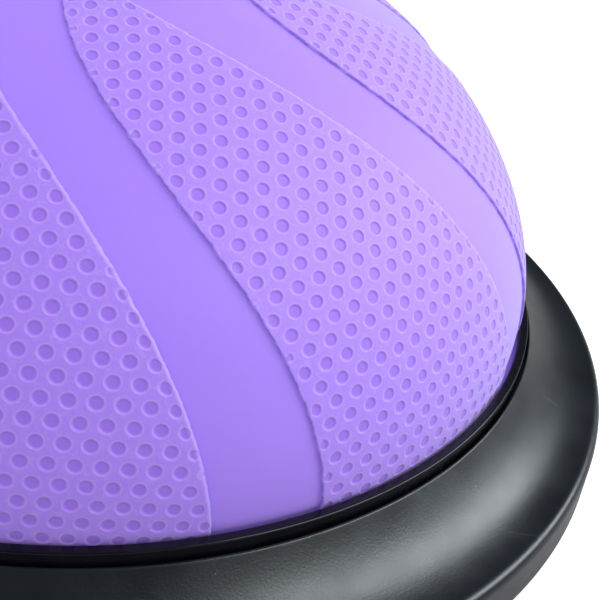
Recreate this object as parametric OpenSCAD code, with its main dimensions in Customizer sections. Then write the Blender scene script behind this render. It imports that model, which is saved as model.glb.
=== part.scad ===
// Balance dome trainer: an inflated rubber dome with raised petals, held in a round moulded base.
// Millimetres, +Z up. The origin is on the floor, under the centre of the base.

/* [Dome] */
// Largest diameter of the dome's smooth skin
dome_d = 489; // [390:1:500]
// Height of the crown above the dome's widest level
dome_rise = 184; // [120:1:230]
// Fullness of the dome's profile, where 2 is an ellipse
dome_fullness = 1.83; // [1.7:0.01:2.4]
// Thickness of the dome's skin
dome_wall = 4; // [2.5:0.1:6]
// Distance from the dome's widest level down to the ring's lip
dome_tuck = 5.6; // [3:0.1:8]
// Thickness of the membrane that closes the dome's underside
floor_t = 3; // [2:0.1:5]

/* [Petals] */
// Number of raised petals round the dome
petal_count = 8; // [5:1:10]
// Height of a petal above the smooth skin
petal_rise = 1.9; // [1:0.1:3]
// Length of a petal along the skin, from the ring to its tip
petal_len = 250; // [150:1:260]
// Half of the angle that a petal covers at the ring
petal_half_angle = 17; // [8:0.5:17]
// Angle that a petal sweeps round the dome from the ring to its tip
petal_swirl = 48.4; // [0:0.1:60]

/* [Base] */
// Diameter of the base across its rim
base_d = 600; // [580:5:720]
// Height of the rim's crest above the base's underside
rim_h = 24.8; // [20:0.1:34]
// Radius of the rim's rounded edge
rim_round = 4.8; // [3:0.1:7]
// Height of the top shell's inner edge above the base's underside
hub_h = 47.3; // [42:0.1:60]
// Wall thickness of the top shell
shell_wall = 3; // [2:0.1:4]
// Thickness of the base plate
plate_t = 3.5; // [2.5:0.1:5]
// Thickness of the ribs between the base plate and the deck
rib_t = 2.5; // [2:0.1:4]
// Number of radial ribs
rib_count = 16; // [8:4:24]

/* [Deck] */
// Height of the deck's top face above the base's underside
deck_h = 37; // [32:0.1:38]
// Thickness of the deck plate
deck_t = 4; // [3:0.1:6]

/* [Retaining ring] */
// Thickness of the ring's lip
lip_t = 4.4; // [3.5:0.1:5]
// Radial width of the ring's lip
lip_w = 4.5; // [4:0.1:7]
// Height of the ring's lip above the top shell's inner edge
lip_h = 8.1; // [6:0.1:10]
// Distance that the lip reaches inwards over the dome's bead
lip_over = 2.9; // [2:0.1:3.5]
// Radial width of the ring's foot
ring_foot_w = 5.4; // [5:0.1:8]
// Thickness of the top shell over the edge of the ring's foot
cover_t = 1.5; // [1:0.1:2]

/* [Valve] */
// Radius of the bore that the plug seals
valve_bore_r = 4.5; // [3:0.1:6]
// Radius of the valve bush's body
bush_r = 11; // [9:0.5:14]
// Radius of the valve bush's flange
bush_flange_r = 17; // [16:0.5:22]
// Height of the bush below the deck's top face
bush_drop = 8; // [7:0.5:10]
// Radius of the plug's pull head
plug_head_r = 9; // [7:0.5:10]
// Thickness of the plug's pull head
plug_head_t = 2.5; // [2:0.1:4]
// Thickness of the bush's flange
bush_flange_t = 2; // [1.5:0.1:3]
// Radial gap between the bush and the hole in the deck
bush_gap = 1.5; // [0.5:0.1:2.5]
// Radius of the open well round the valve
well_r = 25; // [20:1:32]

/* [Hand grips] */
// Length of a hand recess
grip_len = 100; // [80:1:120]
// Depth of a hand recess above the base's underside
grip_depth = 17.5; // [14:0.5:17.5]
// Wall thickness round a hand recess
grip_wall = 2.5; // [2:0.1:3]
// Width of the band left between a hand recess and the rim
grip_edge = 12; // [10:0.5:14]
// Gap between a hand recess and the edge of the deck
grip_inset = 2; // [1:0.5:6]
// Width of the bezel round each recess and round the well
bezel_w = 2.5; // [1.5:0.1:4]
// Thickness of those bezels
bezel_t = 1.2; // [0.8:0.1:2]

/* [Feet] */
// Number of rubber feet
foot_count = 8; // [4:1:8]
// Radius of a foot
foot_r = 20; // [14:0.5:24]
// Height of a foot below the base's underside
foot_h = 5; // [3:0.5:10]
// Depth of the socket that a foot sits in
foot_seat = 1.5; // [1:0.1:2]
// Radius of the peg that holds a foot
foot_peg_r = 4; // [3:0.1:5]
// Distance that a foot reaches outwards past the edge of the deck
foot_out = 5.5; // [0:0.5:6]

/* [Screws] */
// Number of screws that hold the retaining ring
ring_screw_count = 12; // [6:1:18]
// Radius of a ring screw's shank
ring_screw_r = 1.4; // [1.2:0.05:1.5]
// Number of screws that hold the base plate
base_screw_count = 12; // [8:4:12]
// Radius of a base screw's shank
base_screw_r = 2; // [1.5:0.05:2.5]
// Radius of the bosses that the base screws enter
boss_r = 5; // [4.5:0.1:6]
// Length of thread that a ring screw has in the ring
ring_thread = 6.5; // [5:0.5:7]
// Length of thread that a base screw has in its boss
base_thread = 12; // [8:0.5:12]
// Height of the pad under each base screw's boss
screw_pad = 2.5; // [2:0.1:4]
// Depth of the sink for a base screw's head
screw_sink = 3; // [2.5:0.1:3.5]
// Space left past the end of each screw
pilot_end = 1; // [0.5:0.1:2]

/* [Clearances] */
// Gap between parts that drop into each other
fit_gap = 0.3; // [0.2:0.05:0.5]
// Radial gap of the plug in its bore
plug_gap = 0.06; // [0.02:0.01:0.1]
// Radial gap round a screw's shank in its pilot hole
pilot_gap = 0.05; // [0.02:0.01:0.1]
// Radial gap round a screw's shank in a clearance hole
screw_gap = 0.3; // [0.2:0.05:0.5]

/* [Hidden] */

$fn = 96;
eps = 0.01;

// Levels, counted from the floor.
z_base = foot_h;
z_plate = z_base + plate_t;
z_deck = z_base + deck_h;
z_deck_low = z_deck - deck_t;
z_hub = z_base + hub_h;
z_foot_top = z_hub - cover_t;
z_lip = z_hub + lip_h;
z_lip_low = z_lip - lip_t;
z_widest = z_lip + dome_tuck;
z_crown = z_widest + dome_rise;
z_rim = z_base + rim_h;
z_floor = z_deck + fit_gap;

// Radii, from the dome outwards.
r_skin = dome_d / 2;
r_petal = r_skin + petal_rise;
r_lip_in = r_petal + fit_gap;
r_lip_out = r_lip_in + lip_w;
r_pocket = r_lip_in + lip_over;
r_bead = r_pocket - fit_gap;
r_ring_foot = r_pocket + ring_foot_w;
r_hub_in = r_ring_foot + fit_gap;
r_hub_out = r_hub_in + shell_wall;
r_wall_foot = r_lip_out + 0.3;
r_cover = r_wall_foot + fit_gap;
r_rim = base_d / 2;
r_rim_centre = r_rim - rim_round;
r_plate = r_rim - shell_wall - fit_gap;
r_ring_screw = r_pocket + ring_foot_w / 2;

// Dish of the top shell: it falls from the hub and levels out at the rim's crest. The deck's edge
// runs out to where the shell's underside comes down to it.
dish_run = r_rim_centre - r_hub_in;
wall_drop = shell_wall * 1.15;
function dish_z(u) = z_rim + (z_hub - z_rim) * pow(1 - u, 2);
function dish_u(r) = (r - r_hub_in) / dish_run;
r_deck = r_hub_in + dish_run * (1 - sqrt((z_deck + fit_gap + wall_drop - z_rim) / (z_hub - z_rim)));
r_base_screw = r_deck + 2 * boss_r;
r_foot = r_deck - foot_r + foot_out;

purple = [0.70, 0.57, 0.98];
black = [0.13, 0.14, 0.16];
dark = [0.20, 0.21, 0.23];
steel = [0.72, 0.73, 0.75];

// Dome profile: a superellipse of half width a and height b above the widest level.
arc_steps = 15;
function arc_r(a, t) = a * pow(cos(t), 2 / dome_fullness);
function arc_z(b, t) = z_widest + b * pow(sin(t), 2 / dome_fullness);
function dome_arc(a, b) = [for (k = [0 : arc_steps]) let (t = 90 * k / arc_steps)
    k == arc_steps ? [0, z_widest + b] : [arc_r(a, t), arc_z(b, t)]];

// Distance along the smooth skin from the widest level to each point of its profile.
skin = dome_arc(r_skin, dome_rise);
function run(k) = k == 0 ? 0 : run(k - 1) + norm(skin[k] - skin[k - 1]);
skin_radius_at = [for (k = [0 : arc_steps]) [run(k), skin[k][0]]];
function radius_at(s) = lookup(s, skin_radius_at);

// Petal outline in plan: its middle sweeps round with the square of the distance from the ring,
// and its half angle stays wide and then closes to the tip.
petal_steps = 11;
petal_shoulder = 5.5;
petal_close = 0.75;
function petal_mid(u) = -petal_swirl * u * u;
function petal_half(u) = petal_half_angle * pow(1 - pow(u, petal_shoulder), petal_close);
function petal_point(u, side) =
    let (r = radius_at(u * petal_len), a = petal_mid(u) + side * petal_half(u))
    [r * cos(a), r * sin(a)];
petal_start = (r_petal + 2 * lip_w) / cos(petal_half_angle);
function ring_point(side) = let (a = side * petal_half_angle)
    [petal_start * cos(a), petal_start * sin(a)];
function petal_outline() = concat(
    [ring_point(1)],
    [for (k = [1 : petal_steps - 1]) petal_point(k / petal_steps, 1)],
    [petal_point(1, 0)],
    [for (k = [petal_steps - 1 : -1 : 1]) petal_point(k / petal_steps, -1)],
    [ring_point(-1)]);

// Points of the dish and of the rim's turned-over edge.
dish_steps = 10;
function dish_line(drop) = [for (k = [0 : dish_steps]) let (u = k / dish_steps)
    [r_hub_in + dish_run * u, dish_z(u) - drop]];
rim_steps = 6;
function rim_arc(r) = [for (k = [0 : rim_steps]) let (t = 90 - 90 * k / rim_steps)
    [r_rim_centre + r * cos(t), z_rim - rim_round + r * sin(t)]];
wall_draft = 0.3;

peg_lip = 1.6;
r_well_out = well_r + rib_t;
r_rib_in = r_well_out + fit_gap;
r_rib_out = r_foot - foot_peg_r - peg_lip - 1;
rib_rings = [0.3, 0.55, 0.78];

grip_in = r_deck + grip_inset;
grip_out = r_rim - grip_edge;

module around(count, radius, start = 0) {
    for (k = [0 : count - 1])
        rotate([0, 0, start + 360 * k / count])
            translate([radius, 0, 0])
                children();
}

module skin_band(extra) {
    outer = dome_arc(r_skin + extra, dome_rise + extra);
    inner = dome_arc(r_skin - dome_wall, dome_rise - dome_wall);
    rotate_extrude($fn = 180)
        polygon(concat(outer, [for (k = [arc_steps : -1 : 0]) inner[k]]));
}

module tube(r_out, r_in, z_low, z_high) {
    translate([0, 0, z_low])
        difference() {
            cylinder(h = z_high - z_low, r = r_out);
            translate([0, 0, -1])
                cylinder(h = z_high - z_low + 2, r = r_in);
        }
}

module petals() {
    intersection() {
        union() {
            skin_band(petal_rise);
            tube(r_petal, r_skin - dome_wall, z_lip_low + fit_gap, z_widest);
        }
        for (k = [0 : petal_count - 1])
            rotate([0, 0, 360 * k / petal_count])
                linear_extrude(height = z_crown + 2 * petal_rise)
                    polygon(petal_outline());
    }
}

// One moulded skin: smooth dome, raised petals and the bead that the ring holds down.
module dome_shell() {
    color(purple) {
        skin_band(0);
        tube(r_skin, r_skin - dome_wall, z_floor, z_widest);
        tube(r_bead, r_skin - dome_wall, z_floor, z_lip_low - fit_gap);
        petals();
    }
}

// Membrane welded inside the bead; it closes the air chamber.
module bladder_floor() {
    color(purple)
        translate([0, 0, z_floor])
            difference() {
                cylinder(h = floor_t, r = r_skin - dome_wall);
                translate([0, 0, -1])
                    cylinder(h = floor_t + 2, r = bush_r);
            }
}

module valve_bush() {
    color(dark)
        difference() {
            union() {
                translate([0, 0, z_deck - bush_drop])
                    cylinder(h = bush_drop + fit_gap + floor_t, r = bush_r);
                translate([0, 0, z_floor + floor_t])
                    cylinder(h = bush_flange_t, r = bush_flange_r);
            }
            translate([0, 0, z_deck - bush_drop - 1])
                cylinder(h = bush_drop + fit_gap + floor_t + bush_flange_t + 2, r = valve_bore_r);
        }
}

// Push-in plug: a pull head below the bush and a stem that fills its bore.
module valve_plug() {
    stem = bush_drop + fit_gap + floor_t + 1;
    z_head = z_deck - bush_drop - fit_gap - plug_head_t;
    color("white") {
        translate([0, 0, z_head])
            cylinder(h = plug_head_t, r = plug_head_r);
        translate([0, 0, z_head + plug_head_t - eps])
            cylinder(h = stem + fit_gap, r = valve_bore_r - plug_gap);
    }
}

// Ring that holds the dome's bead down; its lip shows round the foot of the dome.
module retaining_ring() {
    edge = 0.8;
    profile = [
        [r_lip_in, z_lip_low],
        [r_lip_in, z_lip - edge],
        [r_lip_in + edge / 2, z_lip - edge / 3],
        [r_lip_out - edge, z_lip],
        [r_lip_out - edge / 4, z_lip - edge / 4],
        [r_lip_out, z_lip - edge],
        [r_wall_foot, z_foot_top],
        [r_ring_foot, z_foot_top],
        [r_ring_foot, z_deck],
        [r_pocket, z_deck],
        [r_pocket, z_lip_low]];
    color(black)
        difference() {
            rotate_extrude($fn = 180)
                polygon(profile);
            around(ring_screw_count, r_ring_screw)
                translate([0, 0, z_deck - 1])
                    cylinder(h = ring_thread + pilot_end + 1, r = ring_screw_r + pilot_gap, $fn = 24);
        }
}

module shell_bosses() {
    intersection() {
        around(base_screw_count, r_base_screw, 180 / base_screw_count)
            translate([0, 0, z_plate + screw_pad + fit_gap])
                cylinder(h = hub_h, r = boss_r, $fn = 32);
        rotate_extrude($fn = 180)
            polygon(concat(dish_line(shell_wall / 2), [[r_rim_centre, z_base], [r_hub_in, z_base]]));
    }
}
// The dish, the rim and the side wall in one moulding, with bosses for the base screws.
module top_shell() {
    under = dish_line(wall_drop);
    inner_rim = rim_arc(rim_round - shell_wall);
    tip = 0.5;
    profile = concat(
        [[r_hub_in, z_deck], [r_hub_in, z_foot_top + fit_gap], [r_cover, z_foot_top + fit_gap]],
        [for (step = [0, tip]) [r_cover + step, dish_z(dish_u(r_cover + tip)) - tip + step]],
        dish_line(0),
        [for (k = [1 : rim_steps]) rim_arc(rim_round)[k]],
        [[r_rim + wall_draft, z_base + fit_gap], [r_rim - shell_wall, z_base + fit_gap]],
        [for (k = [rim_steps : -1 : 1]) inner_rim[k]],
        [for (k = [dish_steps : -1 : 2]) under[k]],
        [[r_hub_out, dish_z(dish_u(r_hub_out)) - wall_drop], [r_hub_out, z_deck]]);
    color(black)
        difference() {
            union() {
                rotate_extrude($fn = 180)
                    polygon(profile);
                shell_bosses();
            }
            around(base_screw_count, r_base_screw, 180 / base_screw_count)
                translate([0, 0, z_plate])
                    cylinder(h = screw_pad + base_thread + pilot_end, r = base_screw_r + pilot_gap, $fn = 24);
        }
}

// Round plate that carries the air chamber and clamps the bead from below.
module deck_plate() {
    color(dark)
        difference() {
            translate([0, 0, z_deck_low])
                cylinder(h = deck_t, r = r_deck, $fn = 180);
            translate([0, 0, z_deck_low - 1])
                cylinder(h = deck_t + 2, r = bush_r + bush_gap);
            around(ring_screw_count, r_ring_screw)
                translate([0, 0, z_deck_low - 1])
                    cylinder(h = deck_t + 2, r = ring_screw_r + screw_gap, $fn = 24);
        }
}

module grip_block(grow, z_low, z_high) {
    translate([grip_in - grow, -grip_len / 2 - grow, z_low])
        cube([grip_out - grip_in + 2 * grow, grip_len + 2 * grow, z_high - z_low]);
}

module rib_ring(radius) {
    difference() {
        circle(radius);
        circle(radius - rib_t);
    }
}

// Ribs that carry the deck on the base plate: three rings, an outer ring and the radial ribs.
module rib_frame() {
    color(dark)
        translate([0, 0, z_plate])
            linear_extrude(height = z_deck_low - z_plate) {
                for (share = rib_rings)
                    rib_ring(r_rib_out * share);
                rib_ring(r_rib_out);
                around(rib_count, r_rib_in, 180 / rib_count)
                    translate([0, -rib_t / 2])
                        square([r_rib_out - rib_t / 2 - r_rib_in, rib_t]);
            }
}

// Flat underside of the base. It carries the ribs, the feet, the well and a hand recess at each side.
module base_plate() {
    color(black)
        difference() {
            union() {
                translate([0, 0, z_base])
                    cylinder(h = plate_t, r = r_plate, $fn = 180);
                around(base_screw_count, r_base_screw, 180 / base_screw_count)
                    translate([0, 0, z_plate - eps])
                        cylinder(h = screw_pad + eps, r = boss_r + 1.5, $fn = 32);
            }
            translate([0, 0, z_base - 1])
                cylinder(h = plate_t + 2, r = r_well_out + fit_gap);
            around(2, 0)
                grip_block(grip_wall + fit_gap, z_base - 1, z_plate + 1);
            around(base_screw_count, r_base_screw, 180 / base_screw_count) {
                translate([0, 0, z_base - 1])
                    cylinder(h = plate_t + screw_pad + 2, r = base_screw_r + screw_gap, $fn = 24);
                translate([0, 0, z_base - 1])
                    cylinder(h = screw_sink + 1, r = 2 * base_screw_r + screw_gap, $fn = 24);
            }
            around(foot_count, r_foot, 180 / foot_count) {
                translate([0, 0, z_base - 1])
                    cylinder(h = foot_seat + 1, r = foot_r + fit_gap, $fn = 48);
                translate([0, 0, z_base])
                    cylinder(h = plate_t + 1, r = foot_peg_r, $fn = 24);
            }
        }
}

// Sleeve from the underside up to the deck, open to the valve, with a bezel below the base plate.
module well_cup() {
    r_bezel = r_well_out + bezel_w;
    edge = bezel_t / 2;
    color(black)
        rotate_extrude()
            polygon([
                [well_r, z_base - bezel_t],
                [r_bezel - edge, z_base - bezel_t],
                [r_bezel, z_base - bezel_t + edge],
                [r_bezel, z_base],
                [r_well_out, z_base],
                [r_well_out, z_deck_low],
                [well_r, z_deck_low]]);
}

// Hand recess: a box open below, with a bezel that rests against the base plate.
module grip_cup(turn) {
    color(black)
        rotate([0, 0, turn])
            difference() {
                union() {
                    grip_block(grip_wall, z_base - bezel_t, z_base + grip_depth + grip_wall);
                    intersection() {
                        grip_block(grip_wall + bezel_w, z_base - bezel_t, z_base);
                        cylinder(h = z_plate, r = r_plate - bezel_t, $fn = 180);
                    }
                }
                grip_block(0, z_base - bezel_t - 1, z_base + grip_depth);
            }
}

module pan_screw(shank_r, head_t, shank) {
    cylinder(h = head_t, r = 2 * shank_r, $fn = 24);
    translate([0, 0, head_t - eps])
        cylinder(h = shank + eps, r = shank_r, $fn = 24);
}

module ring_screws() {
    head_t = 2;
    color(steel)
        around(ring_screw_count, r_ring_screw)
            translate([0, 0, z_deck_low - head_t])
                pan_screw(ring_screw_r, head_t, deck_t + ring_thread);
}

module base_screws() {
    head_t = 2.4;
    color(steel)
        around(base_screw_count, r_base_screw, 180 / base_screw_count)
            translate([0, 0, z_base + screw_sink - head_t])
                pan_screw(base_screw_r, head_t, plate_t + screw_pad - screw_sink + base_thread);
}

// Rubber foot: a tread with a bevelled edge and a peg that snaps through the base plate.
module foot(k) {
    bevel = 1.2;
    peg_top = z_plate + fit_gap;
    profile = [
        [0, 0],
        [foot_r - bevel, 0],
        [foot_r, bevel],
        [foot_r, z_base + foot_seat],
        [foot_peg_r, z_base + foot_seat],
        [foot_peg_r, peg_top],
        [foot_peg_r + peg_lip, peg_top],
        [foot_peg_r, peg_top + 3],
        [0, peg_top + 3]];
    color(dark)
        rotate([0, 0, (k - 0.5) * 360 / foot_count])
            translate([r_foot, 0, 0])
                rotate_extrude($fn = 48)
                    polygon(profile);
}

dome_shell();
bladder_floor();
valve_bush();
valve_plug();
retaining_ring();
top_shell();
deck_plate();
rib_frame();
base_plate();
well_cup();
grip_cup(0);  // grip_cup_right
grip_cup(180);  // grip_cup_left
ring_screws();
base_screws();
for (k = [1 : foot_count])
    foot(k);
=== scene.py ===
import math
import bpy
import numpy as np
from mathutils import Matrix, Quaternion, Vector


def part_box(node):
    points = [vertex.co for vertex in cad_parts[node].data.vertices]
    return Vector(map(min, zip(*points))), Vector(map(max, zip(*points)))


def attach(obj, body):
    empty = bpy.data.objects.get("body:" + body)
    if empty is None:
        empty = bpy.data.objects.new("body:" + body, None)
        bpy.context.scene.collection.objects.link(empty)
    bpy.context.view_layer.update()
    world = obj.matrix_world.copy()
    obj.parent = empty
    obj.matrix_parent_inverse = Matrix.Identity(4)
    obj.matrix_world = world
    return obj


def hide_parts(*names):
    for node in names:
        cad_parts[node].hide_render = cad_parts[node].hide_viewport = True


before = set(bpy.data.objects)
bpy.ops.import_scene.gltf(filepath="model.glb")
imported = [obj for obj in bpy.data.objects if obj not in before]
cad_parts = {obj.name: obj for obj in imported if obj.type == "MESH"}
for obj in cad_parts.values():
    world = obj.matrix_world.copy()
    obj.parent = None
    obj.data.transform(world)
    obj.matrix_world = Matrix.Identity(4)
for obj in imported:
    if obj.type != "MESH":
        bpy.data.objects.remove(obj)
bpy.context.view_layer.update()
print("scene: frame loaded")

mm = 0.001


def roundNode(name):
    # radius, lowest level and highest level of a round CAD node, in mm
    low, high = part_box(name)
    return round(high.x / mm, 3), round(low.z / mm, 3), round(high.z / mm, 3)


def meshFrom(name, points, quads, tris=(), marks=None):
    # one mesh object from arrays of corners, at the origin; marks are numbers kept at its points
    mesh = bpy.data.meshes.new(name)
    quads = np.asarray(quads, np.int32).reshape(-1, 4)
    tris = np.asarray(tris, np.int32).reshape(-1, 3)
    corners = np.concatenate([quads.ravel(), tris.ravel()])
    sizes = np.concatenate([np.full(len(quads), 4), np.full(len(tris), 3)]).astype(np.int32)
    starts = np.concatenate([[0], np.cumsum(sizes)[:-1]]).astype(np.int32)
    mesh.vertices.add(len(points))
    mesh.vertices.foreach_set("co", np.asarray(points, np.float32).ravel())
    mesh.loops.add(len(corners))
    mesh.loops.foreach_set("vertex_index", corners)
    mesh.polygons.add(len(sizes))
    mesh.polygons.foreach_set("loop_start", starts)
    mesh.polygons.foreach_set("use_smooth", np.ones(len(sizes), bool))
    for key, values in (marks or {}).items():
        layer = mesh.attributes.new(key, "FLOAT", "POINT")
        layer.data.foreach_set("value", np.asarray(values, np.float32).ravel())
    mesh.update(calc_edges=True)
    obj = bpy.data.objects.new(name, mesh)
    bpy.context.scene.collection.objects.link(obj)
    return obj


def closedPiece(name, points, quads, tris=(), marks=None):
    # a closed mesh whose faces point outwards: they are turned round where the volume inside,
    # the sum of a . (b x c) over its triangles, comes out negative
    obj = meshFrom(name, points, quads, tris, marks)
    quads, tris = np.asarray(quads), np.asarray(tris, int).reshape(-1, 3)
    triangles = np.concatenate([quads[:, [0, 1, 2]], quads[:, [0, 2, 3]], tris])
    a, b, c = [points[triangles[:, k]] for k in range(3)]
    if np.einsum("ij,ij->i", a, np.cross(b, c)).sum() < 0:
        obj.data.flip_normals()
    return obj


def gridFaces(rows, cols, closeRows, closeCols):
    # quads of a rows x cols grid of points, wrapped where asked
    i = np.arange(rows if closeRows else rows - 1)
    j = np.arange(cols if closeCols else cols - 1)
    i, j = [a.ravel() for a in np.meshgrid(i, j, indexing="ij")]
    i2, j2 = (i + 1) % rows, (j + 1) % cols
    return np.stack([i * cols + j, i2 * cols + j, i2 * cols + j2, i * cols + j2], 1)


def roundedProfile(corners, steps=5, guard=0.35):
    # closed outline in (r, z) from corners ((r, z), radius): each corner becomes an arc of its radius,
    # with one more point a little way along each straight side to hold the shading
    places = np.array([place for place, _ in corners], float)
    rounds = [radius for _, radius in corners]
    outline = []
    for k, corner in enumerate(places):
        toLast, toNext = places[k - 1] - corner, places[(k + 1) % len(places)] - corner
        lastLength, nextLength = np.linalg.norm(toLast), np.linalg.norm(toNext)
        toLast, toNext = toLast / lastLength, toNext / nextLength
        half = 0.5 * math.acos(float(np.clip(toLast @ toNext, -1, 1)))
        if rounds[k] <= 0 or half > 1.5:
            outline.append(corner)
            continue
        cut = min(rounds[k] / math.tan(half), 0.42 * lastLength, 0.42 * nextLength)
        radius = cut * math.tan(half)
        middle = (toLast + toNext) / np.linalg.norm(toLast + toNext)
        centre = corner + middle * radius / math.sin(half)
        start, end = corner + toLast * cut, corner + toNext * cut
        held = min(guard, 0.25 * lastLength, 0.25 * nextLength)
        outline.append(start + toLast * held)
        for t in np.linspace(0, 1, steps + 1):
            spoke = start * (1 - t) + end * t - centre
            outline.append(centre + spoke / np.linalg.norm(spoke) * radius)
        outline.append(end + toNext * held)
    return np.array(outline)


def revolve(name, outline, around=360, centre=(0, 0), marks=None):
    # point(a, k) = (r_k cos a, r_k sin a, z_k): a closed outline in mm turned about Z.
    # Outline points with r = 0 are the first and the last, and become poles.
    outline = np.asarray(outline, float)
    a = np.linspace(0, 2 * math.pi, around, endpoint=False)
    onAxis = np.abs(outline[:, 0]) < 1e-6
    body, poles = outline[~onAxis], outline[onAxis]
    cols = len(body)
    points = np.stack([np.outer(np.cos(a), body[:, 0]), np.outer(np.sin(a), body[:, 0]),
                       np.outer(np.ones(around), body[:, 1])], -1).reshape(-1, 3)
    quads = gridFaces(around, cols, True, len(poles) == 0)[:, ::-1]
    tris = []
    if len(poles):
        points = np.concatenate([points, [[0, 0, poles[0, 1]], [0, 0, poles[-1, 1]]]])
        i = np.arange(around)
        beside = (i + 1) % around
        firstPole, lastPole = around * cols, around * cols + 1
        tris = np.concatenate([
            np.stack([np.full(around, firstPole), i * cols, beside * cols], 1),
            np.stack([np.full(around, lastPole), beside * cols + cols - 1, i * cols + cols - 1], 1)])
    points = points * mm
    points[:, 0] += centre[0]
    points[:, 1] += centre[1]
    marks = {key: np.full(len(points), value) for key, value in (marks or {}).items()}
    return closedPiece(name, points, quads, tris, marks)


def addNode(tree, kind, **values):
    # a node with its own settings, or the values of the sockets that have such a name
    node = tree.nodes.new(kind)
    for key, value in values.items():
        if hasattr(node, key):
            setattr(node, key, value)
        else:
            node.inputs[key.replace("_", " ")].default_value = value
    return node


def worked(tree, operation, first, second=None, clamp=False):
    # what a Math node makes of one or two sockets or numbers
    node = addNode(tree, "ShaderNodeMath", operation=operation, use_clamp=clamp)
    for k, value in enumerate((first, second)):
        if isinstance(value, (int, float)):
            node.inputs[k].default_value = value
        elif value is not None:
            tree.links.new(value, node.inputs[k])
    return node.outputs[0]


def scaled(tree, source, low, high, fromLow=0.3, fromHigh=0.7, curve="LINEAR"):
    # source brought from one range to another
    node = addNode(tree, "ShaderNodeMapRange", From_Min=fromLow, From_Max=fromHigh, To_Min=low, To_Max=high,
                   interpolation_type=curve)
    tree.links.new(source, node.inputs["Value"])
    return node.outputs["Result"]


def blended(tree, factor, first, second):
    # a mix of two colours, each a plain one or a socket
    node = addNode(tree, "ShaderNodeMix", data_type="RGBA")
    for label, value in (("A", first), ("B", second)):
        target = [s for s in node.inputs if s.name == label and s.type == "RGBA"][0]
        if isinstance(value, tuple):
            target.default_value = (*value, 1.0)
        else:
            tree.links.new(value, target)
    tree.links.new(factor, [s for s in node.inputs if s.name == "Factor" and s.type == "VALUE"][0])
    return [s for s in node.outputs if s.type == "RGBA"][0]


def bumped(tree, height, distance, before=None, invert=False):
    # a Bump node on top of the normal before it
    node = addNode(tree, "ShaderNodeBump", invert=invert)
    tree.links.new(height, node.inputs["Height"])
    if isinstance(distance, float):
        node.inputs["Distance"].default_value = distance
    else:
        tree.links.new(distance, node.inputs["Distance"])
    if before is not None:
        tree.links.new(before, node.inputs["Normal"])
    return node


mouldedInputs = {"Mottle Scale": 40.0, "Grain Scale": 900.0, "Grain Depth": 0.00002, "Wave Depth": 0.0,
                 "Speck Scale": 120.0, "Speck Size": 0.05}
mouldedScuffs = {"scale": (22.0, 260.0, 60.0), "turn": (0.2, 0.1, 0.7), "from": (0.66, 0.76)}
mouldedRareSpeck = 0.90                               # one cell in ten holds a speck


def moulded():
    # shared by all materials: mottle, fine grain, rare specks, long scuffs and the normal of grain and
    # mottle, from object coordinates
    tree = bpy.data.node_groups.new("moulded", "ShaderNodeTree")
    for label, value in mouldedInputs.items():
        socket = tree.interface.new_socket(name=label, in_out="INPUT", socket_type="NodeSocketFloat")
        socket.default_value = value
    for label in ("Mottle", "Grain", "Specks", "Scuffs"):
        tree.interface.new_socket(name=label, in_out="OUTPUT", socket_type="NodeSocketFloat")
    tree.interface.new_socket(name="Normal", in_out="OUTPUT", socket_type="NodeSocketVector")
    link = tree.links.new
    given = addNode(tree, "NodeGroupInput").outputs
    result = addNode(tree, "NodeGroupOutput").inputs
    place = addNode(tree, "ShaderNodeTexCoord").outputs["Object"]
    mottle = addNode(tree, "ShaderNodeTexNoise", Detail=3.0, Roughness=0.55)
    grain = addNode(tree, "ShaderNodeTexNoise", Detail=2.0, Roughness=0.6)
    cells = addNode(tree, "ShaderNodeTexVoronoi")
    cellColour = addNode(tree, "ShaderNodeSeparateColor")
    stretch = addNode(tree, "ShaderNodeMapping", Scale=mouldedScuffs["scale"], Rotation=mouldedScuffs["turn"])
    streak = addNode(tree, "ShaderNodeTexNoise", Scale=1.0, Detail=2.0)
    for node in (mottle, grain, cells, stretch):
        link(place, node.inputs["Vector"])
    link(given["Mottle Scale"], mottle.inputs["Scale"])
    link(given["Grain Scale"], grain.inputs["Scale"])
    link(given["Speck Scale"], cells.inputs["Scale"])
    link(cells.outputs["Color"], cellColour.inputs["Color"])
    link(stretch.outputs["Vector"], streak.inputs["Vector"])
    rare = worked(tree, "GREATER_THAN", cellColour.outputs["Red"], mouldedRareSpeck)
    near = worked(tree, "LESS_THAN", cells.outputs["Distance"], given["Speck Size"])
    wave = bumped(tree, mottle.outputs["Fac"], given["Wave Depth"])
    fine = bumped(tree, grain.outputs["Fac"], given["Grain Depth"], wave.outputs["Normal"])
    link(mottle.outputs["Fac"], result["Mottle"])
    link(grain.outputs["Fac"], result["Grain"])
    link(worked(tree, "MULTIPLY", rare, near), result["Specks"])
    link(scaled(tree, streak.outputs["Fac"], 0.0, 1.0, *mouldedScuffs["from"]), result["Scuffs"])
    link(fine.outputs["Normal"], result["Normal"])
    return tree


mouldedEffect = moulded()


def newMaterial(name, finish):
    # a material with the shared effect and a Principled shader, whose own sockets hold the constants
    material = bpy.data.materials.new(name)
    material.use_nodes = True
    tree = material.node_tree
    tree.nodes.clear()
    out = addNode(tree, "ShaderNodeOutputMaterial")
    shader = addNode(tree, "ShaderNodeBsdfPrincipled")
    for key, value in finish["shader"].items():
        shader.inputs[key].default_value = value
    group = addNode(tree, "ShaderNodeGroup", node_tree=mouldedEffect)
    for key, value in finish["effect"].items():
        group.inputs[key].default_value = value
    tree.links.new(shader.outputs["BSDF"], out.inputs["Surface"])
    tree.links.new(group.outputs["Normal"], shader.inputs["Normal"])
    return material, tree, shader, group.outputs


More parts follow.
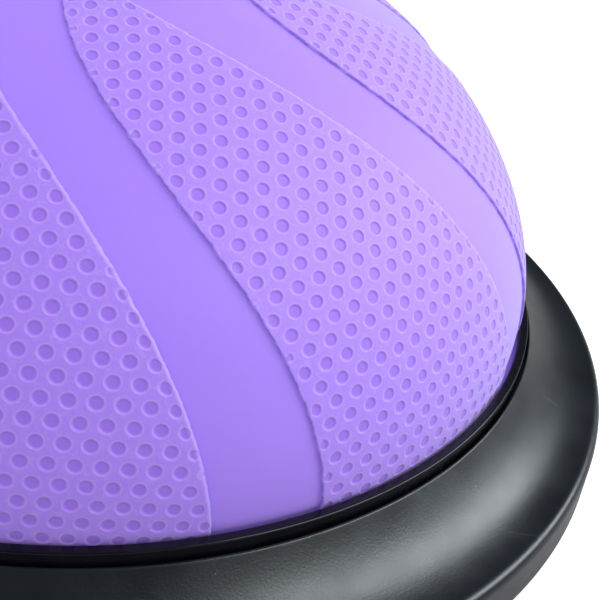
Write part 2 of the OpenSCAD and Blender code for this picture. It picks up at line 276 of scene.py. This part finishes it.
domeFinish = {
    "high": (0.435, 0.250, 1.0), "low": (0.415, 0.236, 1.0),      # the smooth skin's two mottled tones
    # floor darkens the dimples' floors as painted shade in their hollows; rim is a paler tone, painted
    # highlight on the dimples' rims and on a petal's lit edge, and also the tone of the petals' random veins
    "raised": (0.445, 0.256, 1.0), "floor": (0.380, 0.195, 0.90), "rim": (0.60, 0.44, 1.0),
    # crease is painted shade along a petal's border
    "paintedCreaseShade": (0.22, 0.11, 0.66), "speck": (0.24, 0.13, 0.50),
    "rough": (0.52, 0.64),
    "holeEdge": (2.15, 2.9), "rimAt": 3.2, "rimWidth": 0.62,      # mm from a dimple's centre
    "creaseShadeEdge": (7.0, 9.0),                         # the mark "away" passes 7 only at a petal's border, where shade is painted in the crease
    "rimHighlightAmount": 0.42, "edgeHighlightAmount": 0.6, "creaseShadeAmount": 0.55, "speckAmount": 0.45, "veinAmount": 0.30,
    "crackle": {"Scale": 430.0, "Detail": 4.0, "Roughness": 0.62, "Distortion": 0.9},
    "veinEdge": (0.52, 0.68),
    "crackleBump": 0.00016, "holeBump": 0.00020, "rimBump": 0.00006,
    "effect": {"Mottle Scale": 14.0, "Grain Scale": 2600.0, "Grain Depth": 0.000012, "Wave Depth": 0.0,
               "Speck Scale": 60.0, "Speck Size": 0.015},
    "shader": {"IOR": 1.5, "Specular IOR Level": 0.30, "Sheen Weight": 0.72, "Sheen Roughness": 0.42,
               "Sheen Tint": (0.82, 0.88, 1.0, 1.0), "Subsurface Weight": 0.10,
               "Subsurface Radius": (0.5, 0.25, 1.0), "Subsurface Scale": 0.0012},
}


def domeRubber(finish):
    # purple rubber; a point's mark "away" is mm to the nearest dimple's centre, and "raised" is 1 on a petal
    material, tree, shader, effect = newMaterial("domeRubber", finish)
    marks = [addNode(tree, "ShaderNodeAttribute", attribute_name=mark, attribute_type="GEOMETRY")
             for mark in ("away", "raised")]
    away, raised = [node.outputs["Fac"] for node in marks]
    place = addNode(tree, "ShaderNodeTexCoord").outputs["Object"]
    crackle = addNode(tree, "ShaderNodeTexNoise", **finish["crackle"])
    tree.links.new(place, crackle.inputs["Vector"])
    hole = scaled(tree, away, 1.0, 0.0, *finish["holeEdge"], "SMOOTHSTEP")
    offRim = worked(tree, "ABSOLUTE", worked(tree, "SUBTRACT", away, finish["rimAt"]))
    rim = scaled(tree, offRim, 1.0, 0.0, 0.0, finish["rimWidth"], "SMOOTHSTEP")
    veins = scaled(tree, crackle.outputs["Fac"], 0.0, finish["veinAmount"], *finish["veinEdge"])
    petalEdgeHighlight = worked(tree, "MULTIPLY", raised, worked(tree, "SUBTRACT", 1.0, raised))
    tone = blended(tree, scaled(tree, effect["Mottle"], 0.0, 1.0), finish["high"], finish["low"])
    tone = blended(tree, raised, tone, finish["raised"])
    tone = blended(tree, worked(tree, "MULTIPLY", veins, raised), tone, finish["rim"])
    # painted shade: the dimples' floors are darker, as if in shade
    tone = blended(tree, hole, tone, finish["floor"])
    # painted highlight: a paler ring on each dimple's raised rim
    tone = blended(tree, scaled(tree, rim, 0.0, finish["rimHighlightAmount"], 0.0, 1.0), tone, finish["rim"])
    # painted highlight along a petal's edge, in the paler rim tone
    tone = blended(tree, scaled(tree, petalEdgeHighlight, 0.0, finish["edgeHighlightAmount"], 0.0, 0.25), tone, finish["rim"])
    # painted shade in the crease along a petal's border
    paintedCreaseShade = scaled(tree, away, 0.0, finish["creaseShadeAmount"], *finish["creaseShadeEdge"])
    tone = blended(tree, paintedCreaseShade, tone, finish["paintedCreaseShade"])
    specks = scaled(tree, effect["Specks"], 0.0, finish["speckAmount"], 0.0, 1.0)
    tone = blended(tree, specks, tone, finish["speck"])
    crackled = bumped(tree, crackle.outputs["Fac"], finish["crackleBump"], effect["Normal"])
    tree.links.new(raised, crackled.inputs["Strength"])
    dented = bumped(tree, hole, finish["holeBump"], crackled.outputs["Normal"], invert=True)
    rimmed = bumped(tree, rim, finish["rimBump"], dented.outputs["Normal"])
    tree.links.new(rimmed.outputs["Normal"], shader.inputs["Normal"])
    tree.links.new(tone, shader.inputs["Base Color"])
    tree.links.new(scaled(tree, effect["Grain"], *finish["rough"]), shader.inputs["Roughness"])
    return material


blackSpeck = (0.30, 0.31, 0.33)                       # pale dust on dark plastic and rubber
scuffAmount, scuffRoughness, speckAmount = 0.22, 0.10, 0.8
plainFinishes = {                                     # by material slot
    "ring_plastic": {
        "name": "ringPlastic", "colour": (0.0025, 0.0025, 0.005), "dust": (0.0045, 0.0045, 0.008),
        "rough": (0.20, 0.28), "speck": blackSpeck, "shader": {"IOR": 1.5, "Specular IOR Level": 0.32},
        "effect": {"Mottle Scale": 60.0, "Grain Scale": 1500.0, "Grain Depth": 0.000010,
                   "Speck Scale": 160.0, "Speck Size": 0.04}},
    "base_plastic": {
        "name": "basePlastic", "colour": (0.004, 0.006, 0.009), "dust": (0.007, 0.010, 0.014),
        "rough": (0.31, 0.39), "speck": blackSpeck, "shader": {"IOR": 1.5},
        "effect": {"Mottle Scale": 38.0, "Grain Scale": 900.0, "Grain Depth": 0.00006, "Wave Depth": 0.00008,
                   "Speck Scale": 150.0, "Speck Size": 0.035}},
    "deck_plastic": {
        "name": "deckPlastic", "colour": (0.028, 0.030, 0.034), "dust": (0.040, 0.042, 0.047),
        "rough": (0.55, 0.68), "speck": blackSpeck, "shader": {},
        "effect": {"Mottle Scale": 50.0, "Grain Scale": 1100.0, "Grain Depth": 0.00003,
                   "Speck Scale": 150.0, "Speck Size": 0.03}},
    "foot_rubber": {
        "name": "footRubber", "colour": (0.028, 0.028, 0.030), "dust": (0.050, 0.049, 0.047),
        "rough": (0.70, 0.86), "speck": blackSpeck, "shader": {},
        "effect": {"Mottle Scale": 90.0, "Grain Scale": 1600.0, "Grain Depth": 0.00004,
                   "Speck Scale": 320.0, "Speck Size": 0.12}},
    "valve_rubber": {
        "name": "bushRubber", "colour": (0.022, 0.022, 0.024), "dust": (0.032, 0.032, 0.034),
        "rough": (0.60, 0.74), "speck": blackSpeck, "shader": {},
        "effect": {"Mottle Scale": 120.0, "Grain Scale": 1800.0, "Grain Depth": 0.00003,
                   "Speck Scale": 320.0, "Speck Size": 0.05}},
    "plug_plastic": {
        "name": "plugPlastic", "colour": (0.80, 0.79, 0.76), "dust": (0.74, 0.72, 0.68),
        "rough": (0.30, 0.42), "speck": (0.45, 0.42, 0.38), "shader": {"IOR": 1.46},
        "effect": {"Mottle Scale": 150.0, "Grain Scale": 2200.0, "Grain Depth": 0.00001,
                   "Speck Scale": 500.0, "Speck Size": 0.06}},
    "screw_steel": {
        "name": "screwSteel", "colour": (0.58, 0.59, 0.61), "dust": (0.48, 0.48, 0.49),
        "rough": (0.24, 0.40), "speck": (0.25, 0.24, 0.22), "shader": {"Metallic": 1.0},
        "effect": {"Mottle Scale": 400.0, "Grain Scale": 3000.0, "Grain Depth": 0.00002,
                   "Speck Scale": 900.0, "Speck Size": 0.15}},
}


def plainMaterial(finish):
    # mottled between two tones, with uneven gloss, specks and faint scuffs that are paler and rougher
    material, tree, shader, effect = newMaterial(finish["name"], finish)
    scuffTone = tuple(min(1.0, c * 2.4 + 0.01) for c in finish["dust"])
    tone = blended(tree, scaled(tree, effect["Mottle"], 0.0, 1.0), finish["colour"], finish["dust"])
    tone = blended(tree, scaled(tree, effect["Scuffs"], 0.0, scuffAmount, 0.0, 1.0), tone, scuffTone)
    tone = blended(tree, scaled(tree, effect["Specks"], 0.0, speckAmount, 0.0, 1.0), tone, finish["speck"])
    rough = worked(tree, "ADD", scaled(tree, effect["Mottle"], *finish["rough"]),
                   scaled(tree, effect["Scuffs"], 0.0, scuffRoughness, 0.0, 1.0), clamp=True)
    tree.links.new(tone, shader.inputs["Base Color"])
    tree.links.new(rough, shader.inputs["Roughness"])
    return material


materials = {"dome_rubber": domeRubber(domeFinish)}
materials.update({slotName: plainMaterial(finish) for slotName, finish in plainFinishes.items()})
print("scene: materials made")


def finishPiece(obj, body, slotName, stoodFor):
    # material, slot and body of one finished piece, and the CAD node that it stands for
    obj.data.materials.append(materials[slotName])
    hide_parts(stoodFor)
    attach(obj, body)


# The dome's profile is |r / a|^n + |(z - zWide) / b|^n = 1 above the widest level, and the same curve
# mirrored below it, down to the bead.
rBead, zBottom, zCrown = roundNode("dome_shell")
skin = {"a": 244.5, "n": 1.83, "zWide": 66.0, "zSeat": 58.5, "wall": 4.0, "zNeck": 55.7, "zBeadTop": 55.0,
        "beadEdge": 0.4, "around": 420, "noDimple": 6.0}
skin["b"] = zCrown - skin["zWide"]
profileZ = np.linspace(skin["zNeck"], zCrown - 1e-7, 40000)
profileR = skin["a"] * (1 - (np.abs(profileZ - skin["zWide"]) / skin["b"]) ** skin["n"]) ** (1 / skin["n"])
profileS = np.concatenate([[0], np.cumsum(np.hypot(np.diff(profileZ), np.diff(profileR)))])
profileS -= np.interp(skin["zSeat"], profileZ, profileS)     # distance along the skin, from the ring's level
crownS = profileS[-1]
slopeR = np.gradient(profileR, profileS)
slopeZ = np.gradient(profileZ, profileS)


def skinPoint(azimuth, s, rise):
    # point at that azimuth (radians) and distance s (mm) up the skin, lifted by rise along the skin's normal
    r = np.interp(s, profileS, profileR) + rise * np.interp(s, profileS, slopeZ)
    z = np.interp(s, profileS, profileZ) - rise * np.interp(s, profileS, slopeR)
    return np.stack([r * np.cos(azimuth), r * np.sin(azimuth), z], -1)


def domeOutline():
    # the outer curve from the crown down, the bead, and the inner curve back up: each one wall inside a and b
    upper = np.linspace(4, crownS - 4, 150)
    s = np.concatenate([np.linspace(profileS[0], 4, 8)[:-1], upper, [crownS - 1.5]])[::-1]
    outside = np.stack([np.interp(s, profileS, profileR), np.interp(s, profileS, profileZ)], -1)
    rInside, edge = skin["a"] - skin["wall"], skin["beadEdge"]
    bead = [[244.2, 55.4], [245.0, 55.1], [rBead - edge, skin["zBeadTop"]], [rBead, skin["zBeadTop"] - edge],
            [rBead, zBottom + edge], [rBead - edge, zBottom],
            [rInside + edge, zBottom], [rInside, zBottom + edge]]
    t = np.linspace(0, 1, 40)[:-1] * math.pi / 2
    inside = np.stack([rInside * np.cos(t) ** (2 / skin["n"]),
                       skin["zWide"] + (skin["b"] - skin["wall"]) * np.sin(t) ** (2 / skin["n"])], -1)
    return np.concatenate([[[0.0, zCrown]], outside, bead, inside, [[0.0, zCrown - skin["wall"]]]])


domeSkin = revolve("dome_skin", domeOutline(), skin["around"], marks={"away": skin["noDimple"]})
finishPiece(domeSkin, "trainer", "dome_rubber", "dome_shell")
print("scene: skin made")

petal = {
    "count": 8, "foot": -45.0,                        # degrees of the first petal's foot
    "bend": (-1.865, -5.401, -0.675),                 # middle's azimuth, in degrees for s in 100 mm
    "half": 16.86, "length": 252.0, "closePower": 6.6, "closeShape": 0.95,
    "low": -3.4, "rise": 1.4, "under": -1.1, "sunk": 0.12, "tuckedIn": -0.35,
    "edge": 0.48, "farEdge": 2.4,                     # width of the edge's rounding, more on the far side
    "rows": 398, "tipRows": 30, "tip": 8.0, "columns": 96, "underColumns": 7,
    "borderColumns": (0.0, 0.14, 0.3, 0.46, 0.62, 0.8, 1.05, 1.5),      # mm in from the border
    "trim": 0.42,                                     # and its waves: how often, start, change of side, size
    "nicks": ((0.66, 0.0, 1, 0.30), (1.63, 0.0, 2, 0.26), (2.9, 1.1, 1, 0.20), (0.27, 1.0, 0, 0.24)),
}
dimple = {"centreS": 110.0, "radius": 250.0, "depth": 0.46, "floor": 2.15, "wall": 0.9}
sheets = [                                            # the two dimple sheets that take turns round the dome
    {"pitch": 9.643, "angle": 8.86, "origin": (-46.28, 61.92),
     "stretch": (-0.0492, -0.0205, 1.91e-4, 1.32e-4), "shear": (0.0074, 0.0104, -6.52e-4, -0.49e-4)},
    {"pitch": 9.534, "angle": 2.79, "origin": (44.54, -37.85),
     "stretch": (-0.0185, -0.0063, 0.0, 0.0), "shear": (-0.0033, 0.0047, 0.0, 0.0)},
]


def petalMiddle(s):
    # azimuth of the petal's middle, in degrees from its foot: a cubic in s
    x = np.maximum(s, 0) / 100
    return petal["bend"][0] * x + petal["bend"][1] * x ** 2 + petal["bend"][2] * x ** 3


def petalHalf(s):
    # half of the petal's width in degrees: half (1 - (s / length)^closePower)^closeShape
    u = np.clip(s / petal["length"], 0, 1)
    return petal["half"] * (1 - u ** petal["closePower"]) ** petal["closeShape"]


def ease(x):
    # 0 to 1 with a smooth start and end: 3 x^2 - 2 x^3
    x = np.clip(x, 0, 1)
    return x * x * (3 - 2 * x)


def laidFlat(azimuth, s):
    # the skin as a flat sheet about the petal's middle at centreS, at true distances and directions from it;
    # azimuth is in degrees from the petal's foot
    middle = math.radians(float(petalMiddle(np.array(dimple["centreS"]))))
    fromCrown = (crownS - dimple["centreS"]) / dimple["radius"]
    a, down = np.radians(azimuth), (crownS - s) / dimple["radius"]
    v = np.stack([np.sin(down) * np.cos(a), np.sin(down) * np.sin(a), np.cos(down)], -1)
    centre = np.array([math.sin(fromCrown) * math.cos(middle), math.sin(fromCrown) * math.sin(middle),
                       math.cos(fromCrown)])
    right = np.array([-math.sin(middle), math.cos(middle), 0.0])
    up = np.array([-math.cos(fromCrown) * math.cos(middle), -math.cos(fromCrown) * math.sin(middle),
                   math.sin(fromCrown)])
    arc = dimple["radius"] * np.arccos(np.clip(v @ centre, -1, 1))
    p, q = v @ right, v @ up
    size = np.hypot(p, q) + 1e-12
    return arc * p / size, arc * q / size


def awayFromDimple(azimuth, s, sheet):
    # mm from each point to the nearest dimple's centre. The flat sheet is slightly stretched, as moulded:
    # p += k1 p + k2 q + k3 p q + k4 q^2 and q += m1 p + m2 q + m3 p q + m4 q^2. It is then turned, and the
    # dimples are the points (i + j / 2, j sin 60) of a triangular lattice.
    p, q = laidFlat(azimuth, s)
    k, m = sheet["stretch"], sheet["shear"]
    p, q = (p + k[0] * p + k[1] * q + k[2] * p * q + k[3] * q * q - sheet["origin"][0],
            q + m[0] * p + m[1] * q + m[2] * p * q + m[3] * q * q - sheet["origin"][1])
    turn = math.radians(sheet["angle"])
    x = (p * math.cos(turn) + q * math.sin(turn)) / sheet["pitch"]
    y = (-p * math.sin(turn) + q * math.cos(turn)) / sheet["pitch"]
    rowHeight = math.sin(math.pi / 3)
    lowerRow = np.floor(y / rowHeight)
    away = []
    for j in (lowerRow, lowerRow + 1):
        i = np.round(x - 0.5 * j)
        away.append(np.hypot(x - i - 0.5 * j, y - j * rowHeight))
    return np.minimum(*away) * sheet["pitch"]


def petalGrid():
    # s of each row, closer together towards the tip, and each column's mm from the middle, closer together
    # at the borders: a column keeps its distance from the border, or its share of a narrow petal's half width
    along = np.concatenate([
        np.linspace(petal["low"], petal["length"] - petal["tip"], petal["rows"], endpoint=False),
        petal["length"] - petal["tip"] * (1 - np.linspace(0, 1, petal["tipRows"])) ** 1.8])
    along[-1] = petal["length"] - 0.02
    wide = np.radians(petalHalf(along)) * np.interp(along, profileS, profileR)
    columns = np.array(petal["borderColumns"])
    lean = 1 + 0.6 * ease((along - 60) / 120)
    nearBorder = np.minimum(columns * lean[:, None], wide[:, None] * np.linspace(0, 0.6, len(columns)))
    inwards = np.linspace(0, 1, petal["columns"])[1:]
    last = nearBorder[:, -1:]
    left = np.concatenate([nearBorder, last + (wide[:, None] - last) * inwards], 1)
    return along, np.concatenate([left - wide[:, None], (wide[:, None] - left)[:, -2::-1]], 1)


def fromBorder(flat, along):
    # distance from each point of the grid to the nearest point of the petal's outline, a row at a time
    sides = np.radians(petalMiddle(along)[:, None] + petalHalf(along)[:, None] * np.array([-1.0, 1.0]))
    border = np.concatenate([skinPoint(sides[:, 0], along, 0), skinPoint(sides[::-1, 1], along[::-1], 0)])
    return np.array([np.sqrt(((row[:, None] - border) ** 2).sum(-1).min(1)) for row in flat])


def petalShape(sheet):
    # one petal as a closed skin, across and along (s): rise above the dome's skin = the edge's rounding, a
    # quarter circle in the distance from the outline, less the dimples' depth
    along, across = petalGrid()
    r = np.interp(along, profileS, profileR)
    azimuth = petalMiddle(along)[:, None] + np.degrees(across / r[:, None])
    s = np.broadcast_to(along[:, None], azimuth.shape)
    side = np.sign(across)
    # the outline is trimmed by hand in the mould: it wanders and has small nicks
    nicks = sum(np.sin(s * often + start + side * swap) * size for often, start, swap, size in petal["nicks"])
    inside = fromBorder(skinPoint(np.radians(azimuth), s, 0.0), along)
    inside = inside - petal["trim"] - petal["trim"] * nicks * np.where(side < 0, 1.0, 0.7)
    u = np.clip(inside / np.where(side < 0, petal["edge"], petal["farEdge"] * petal["edge"]), 0, 1)
    rise = petal["rise"] * np.sqrt(1 - (1 - u) ** 2) - petal["sunk"] * (inside <= 0)
    away = awayFromDimple(azimuth, s, sheet)
    hole = 1 - ease((away - dimple["floor"]) / dimple["wall"])
    depth = dimple["depth"] * hole * (0.25 + 0.75 * ease((inside - 0.6) / 2.6))     # less near the border
    rise = np.maximum(rise - depth * ease(inside), -petal["sunk"])
    rise[:, 0] = rise[:, -1] = petal["tuckedIn"]      # the edge goes a little way into the skin
    top = skinPoint(np.radians(azimuth), s, rise)
    picked = np.linspace(0, across.shape[1] - 1, petal["underColumns"]).astype(int)
    below = across[:, ::-1][:, picked] * 0.97
    belowAzimuth = petalMiddle(along)[:, None] + np.degrees(below / r[:, None])
    belowS = np.broadcast_to(along[:, None], below.shape)
    points = np.concatenate([top, skinPoint(np.radians(belowAzimuth), belowS, petal["under"])], 1)

    # marks for the material: dimples fade out near the border, and "away" passes 7 in the crease along it,
    # where painted shade darkens it
    faded = np.minimum(away + 1.5 * (1 - ease((inside - 0.3) / 3.2)), skin["noDimple"])
    faded = faded + 4 * (1 - ease((inside - 0.1) / 0.4))
    # raised climbs over 0.6 mm on one side and 2 mm on the other, so the painted edge highlight is wide only
    # on the far, lit side
    raised = ease(inside / np.where(side < 0, 0.6, 2.0))
    awayMark = np.concatenate([faded, np.full(below.shape, skin["noDimple"])], 1)
    raisedMark = np.concatenate([raised, np.zeros(below.shape)], 1)

    rows, cols = points.shape[:2]
    foot, tip = rows * cols, rows * cols + 1          # one point closes each end
    j = np.arange(cols)
    beside = (j + 1) % cols
    lastRow = (rows - 1) * cols
    tris = np.concatenate([np.stack([np.full(cols, foot), j, beside], 1),
                           np.stack([np.full(cols, tip), lastRow + beside, lastRow + j], 1)])
    points = np.concatenate([points.reshape(-1, 3), [points[0].mean(0), points[-1].mean(0)]])
    marks = {"away": np.concatenate([awayMark.ravel(), [skin["noDimple"]] * 2]),
             "raised": np.concatenate([raisedMark.ravel(), [0, 0]])}
    return points * mm, gridFaces(rows, cols, False, True)[:, ::-1], tris[:, ::-1], marks


petalShapes = [petalShape(sheet) for sheet in sheets]
for k in range(petal["count"]):
    petalPoints, petalQuads, petalTris, petalMarks = petalShapes[k % 2]
    turn = math.radians(petal["foot"] + 360 / petal["count"] * k)
    cosTurn, sinTurn = math.cos(turn), math.sin(turn)
    turned = petalPoints @ np.array([[cosTurn, sinTurn, 0], [-sinTurn, cosTurn, 0], [0, 0, 1]])
    leaf = closedPiece(f"petal_{k + 1}", turned, petalQuads, petalTris, petalMarks)
    finishPiece(leaf, "trainer", "dome_rubber", "dome_shell")
print("scene: petals made,", len(petalQuads), "faces each")

rRingFoot, zRingLow, zRingTop = roundNode("retaining_ring")
ring = {"lipIn": 246.7, "zLip": 56.0, "out": 251.2, "bore": 249.6, "wallFoot": 251.5, "zFootTop": 50.8,
        "around": 540}
ringCorners = [
    ((ring["lipIn"], ring["zLip"]), 0.3), ((ring["lipIn"], zRingTop), 0.55), ((ring["out"], zRingTop), 0.8),
    ((ring["wallFoot"], ring["zFootTop"]), 0.2), ((rRingFoot, ring["zFootTop"]), 0.3),
    ((rRingFoot, zRingLow), 0.3), ((ring["bore"], zRingLow), 0.2), ((ring["bore"], ring["zLip"]), 0.2)]
ringPiece = revolve("ring", roundedProfile(ringCorners), ring["around"])
finishPiece(ringPiece, "trainer", "ring_plastic", "retaining_ring")

# Dish: z = zRim + (zHub - zRim) (1 - u)^2 from the hub (u = 0) to the rim (u = 1), and a little way
# inwards (u < 0) over the edge of the ring's foot.
shell = {"hub": 255.3, "rim": 295.2, "zHub": 52.3, "zRim": 29.8, "inwards": -0.0526, "round": 4.8,
         "inRound": 1.8, "wall": 3.45, "around": 540}
zShellLow = roundNode("top_shell")[1]


def shellOutline():
    # dish, quarter round over the rim, side wall with a rounded foot, and the same ways back inside
    u = np.linspace(shell["inwards"], 1, 64)
    dish = np.stack([shell["hub"] + (shell["rim"] - shell["hub"]) * u,
                     shell["zRim"] + (shell["zHub"] - shell["zRim"]) * (1 - u) ** 2], -1)
    a = np.radians(np.linspace(90, 0, 19))[1:]
    turnOver = np.stack([shell["rim"] + shell["round"] * np.cos(a),
                         shell["zRim"] - shell["round"] * (1 - np.sin(a))], -1)
    side = [[300.02, 24.0], [300.36, 6.6], [300.38, 6.1], [300.2, 5.55], [299.7, zShellLow],
            [297.6, zShellLow], [297.0, 5.8], [297.0, 24.6]]
    b = np.radians(np.linspace(0, 90, 9))[1:]
    turnBack = np.stack([shell["rim"] + shell["inRound"] * np.cos(b),
                         shell["zRim"] - shell["round"] + shell["inRound"] * np.sin(b)], -1)
    underDish = dish[::-1][3:-8] + np.array([0.0, -shell["wall"]])
    hubLow, hubIn = rRingFoot + 0.3, 253.0            # stands off the ring's foot, and covers its edge
    hub = [[hubLow + 3.0, 42.4], [hubLow + 2.6, 42.0], [hubLow + 0.4, 42.0], [hubLow, 42.4], [hubLow, 50.9],
           [hubLow - 0.2, 51.1], [hubIn + 0.2, 51.1], [hubIn, 51.3], [hubIn, 54.6], [hubIn + 0.06, 54.76]]
    return np.concatenate([dish[1:], turnOver, side, turnBack, underDish, hub])


topShell = revolve("top_shell_skin", shellOutline(), shell["around"])
finishPiece(topShell, "trainer", "base_plastic", "top_shell")
print("scene: ring and shell made")

tread = {"count": 8, "top": 6.5, "radius": 20.0, "grooves": (16.2, 13.0, 9.8, 6.6), "depth": 0.75,
         "around": 72}
treadSide = [(-0.6, tread["top"]), (-0.1, tread["top"] - 0.1), (0.0, 1.0), (-0.3, 0.45), (-0.9, 0.12),
             (-1.6, 0.0)]
treadGroove = [(0.5, 0.0), (0.3, 0.15), (0.15, tread["depth"]), (-0.75, tread["depth"]), (-0.9, 0.15),
               (-1.1, 0.0)]
treadOutline = [(0.0, tread["top"])] + [(tread["radius"] + r, z) for r, z in treadSide]
treadOutline += [(edge + r, z) for edge in tread["grooves"] for r, z in treadGroove] + [(0.0, 0.0)]
for k in range(1, tread["count"] + 1):
    low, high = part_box(f"foot_{k}")
    centre = ((low.x + high.x) / 2, (low.y + high.y) / 2)
    foot = revolve(f"foot_tread_{k}", treadOutline, tread["around"], centre)
    finishPiece(foot, "trainer", "foot_rubber", f"foot_{k}")

rPlugHead, zPlugLow = roundNode("valve_plug")[:2]
plug = {"dimple": 3.2, "ledge": 4.0, "zDimple": 31.9, "zHeadTop": 33.7, "stem": 4.44, "zStem": 46.0,
        "zTip": 46.3, "around": 96}
plugCorners = [
    ((0.0, plug["zDimple"]), 0), ((plug["dimple"], plug["zDimple"]), 0.3), ((plug["ledge"], zPlugLow), 0.3),
    ((rPlugHead, zPlugLow), 0.8), ((rPlugHead, plug["zHeadTop"]), 0.7),
    ((plug["stem"], plug["zHeadTop"]), 0.3), ((plug["stem"], plug["zStem"]), 0.8), ((0.0, plug["zTip"]), 0)]
plugPiece = revolve("plug_turned", roundedProfile(plugCorners), plug["around"])
finishPiece(plugPiece, "plug", "plug_plastic", "valve_plug")

cadPieces = {                                         # nodes whose CAD shape stays, by material slot
    "dome_rubber": ["bladder_floor"], "valve_rubber": ["valve_bush"],
    "deck_plastic": ["deck_plate", "rib_frame"],
    "base_plastic": ["base_plate", "well_cup", "grip_cup_right", "grip_cup_left"],
    "screw_steel": ["ring_screws", "base_screws"],
}
for slotName, names in cadPieces.items():
    for name in names:
        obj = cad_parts[name]
        obj.data.materials.clear()
        obj.data.materials.append(materials[slotName])
print("scene: object complete")

stage = {"half": 6.0, "below": 0.0002, "colour": (0.62, 0.62, 0.62, 1), "glow": 0.75, "Roughness": 0.9,
         "Specular IOR Level": 0.1}


def makeFloor():
    # flat square of pale floor, paper-white where the camera sees it
    square = np.array([[-1, -1, 0], [1, -1, 0], [1, 1, 0], [-1, 1, 0]]) * stage["half"]
    floor = meshFrom("floor", square - np.array([0, 0, stage["below"]]), [[0, 1, 2, 3]])
    paint = bpy.data.materials.new("floorPaint")
    paint.use_nodes = True
    shader = paint.node_tree.nodes["Principled BSDF"]
    shader.inputs["Base Color"].default_value = stage["colour"]
    shader.inputs["Roughness"].default_value = stage["Roughness"]
    shader.inputs["Specular IOR Level"].default_value = stage["Specular IOR Level"]
    shader.inputs["Emission Color"].default_value = (1, 1, 1, 1)
    seen = addNode(paint.node_tree, "ShaderNodeLightPath").outputs["Is Camera Ray"]
    glow = worked(paint.node_tree, "MULTIPLY", seen, stage["glow"])
    paint.node_tree.links.new(glow, shader.inputs["Emission Strength"])
    floor.data.materials.append(paint)


studio = {"matt": ((0.95, 0.95, 1.0, 1), 0.51), "glossy": ((0.80, 0.94, 1.0, 1), 0.10),
          "seen": ((1, 1, 1, 1), 1.0)}


def makeWorld():
    # soft light all round, dimmer in reflections, and white behind the object
    world = bpy.data.worlds.new("studio")
    bpy.context.scene.world = world
    world.use_nodes = True
    tree = world.node_tree
    tree.nodes.clear()
    out = addNode(tree, "ShaderNodeOutputWorld")
    rays = addNode(tree, "ShaderNodeLightPath").outputs
    matt, glossy, seen = [addNode(tree, "ShaderNodeBackground", Color=colour, Strength=strength).outputs[0]
                          for colour, strength in (studio["matt"], studio["glossy"], studio["seen"])]
    lighting = addNode(tree, "ShaderNodeMixShader")
    whole = addNode(tree, "ShaderNodeMixShader")
    for node, parts in ((lighting, (rays["Is Glossy Ray"], matt, glossy)),
                        (whole, (rays["Is Camera Ray"], lighting.outputs[0], seen))):
        for k, part in enumerate(parts):
            tree.links.new(part, node.inputs[k])
    tree.links.new(whole.outputs[0], out.inputs["Surface"])


softboxes = {                                         # directions in degrees, metres and watts
    "keyGloss": {"azimuth": -9.3, "elevation": 42.1, "distance": 1.5, "size": (1.97, 0.55), "power": 36,
                 "colour": (0.90, 0.97, 1.0), "aim": (0.209, -0.081, 0.05), "roll": -29.4, "matt": False},
    "keySoft": {"azimuth": 28, "elevation": 58, "distance": 1.7, "size": (1.5, 1.3), "power": 17.5,
                "colour": (0.98, 0.98, 1.0), "aim": (0.1, 0, 0.05), "gloss": False},
    "frontBox": {"azimuth": -128, "elevation": 48, "distance": 2.2, "size": (1.6, 1.4), "power": 13.5,
                 "colour": (0.94, 0.94, 1.0), "gloss": False},
    "sideBox": {"azimuth": -8, "elevation": 4, "distance": 1.8, "size": (1.0, 0.6), "power": 14,
                "colour": (0.97, 0.96, 1.0), "gloss": False},
}


def makeSoftbox(name, box):
    # an area light in that direction from its aim, which may work on reflections or on matt shading alone
    data = bpy.data.lights.new(name, "AREA")
    data.shape, data.size, data.size_y = "RECTANGLE", *box["size"]
    data.energy, data.color = box["power"], box["colour"]
    obj = bpy.data.objects.new(name, data)
    bpy.context.scene.collection.objects.link(obj)
    a, e = math.radians(box["azimuth"]), math.radians(box["elevation"])
    outwards = Vector((math.cos(a) * math.cos(e), math.sin(a) * math.cos(e), math.sin(e)))
    obj.location = Vector(box.get("aim", (0, 0, 0.08))) + outwards * box["distance"]
    obj.rotation_mode = "QUATERNION"
    roll = Quaternion((0, 0, 1), math.radians(box.get("roll", 0.0)))
    obj.rotation_quaternion = outwards.to_track_quat("Z", "Y") @ roll
    obj.visible_glossy, obj.visible_diffuse = box.get("gloss", True), box.get("matt", True)


view = {"lens": 61.75, "sensor": 36.0, "place": (0.0, -534.1, 354.3),       # place in mm, turns in degrees
        "yaw": 13.2, "pitch": -31.46, "roll": 8.85, "round": 5.44}


def makeCamera():
    # looks along yaw and pitch, rolled about that line, and then goes round the object's axis with its place
    yaw, pitch, roll, turn = [math.radians(view[key]) for key in ("yaw", "pitch", "roll", "round")]
    ahead = Vector((math.sin(yaw) * math.cos(pitch), math.cos(yaw) * math.cos(pitch), math.sin(pitch)))
    level = Vector((math.cos(yaw), -math.sin(yaw), 0))
    upright = level.cross(ahead)
    right = level * math.cos(roll) + upright * math.sin(roll)
    up = upright * math.cos(roll) - level * math.sin(roll)
    spin = Matrix.Rotation(turn, 3, "Z")
    axes = Matrix((spin @ right, spin @ up, spin @ -ahead)).transposed()
    camera = bpy.data.objects.new("camera", bpy.data.cameras.new("camera"))
    bpy.context.scene.collection.objects.link(camera)
    camera.data.lens, camera.data.sensor_width = view["lens"], view["sensor"]
    camera.data.clip_start, camera.data.clip_end = 0.02, 60
    camera.matrix_world = Matrix.Translation(spin @ Vector(view["place"]) * mm) @ axes.to_4x4()
    bpy.context.scene.camera = camera


makeFloor()
makeWorld()
for name, box in softboxes.items():
    makeSoftbox(name, box)
makeCamera()
bpy.context.scene.view_settings.view_transform = "Standard"
print("scene: stage made")
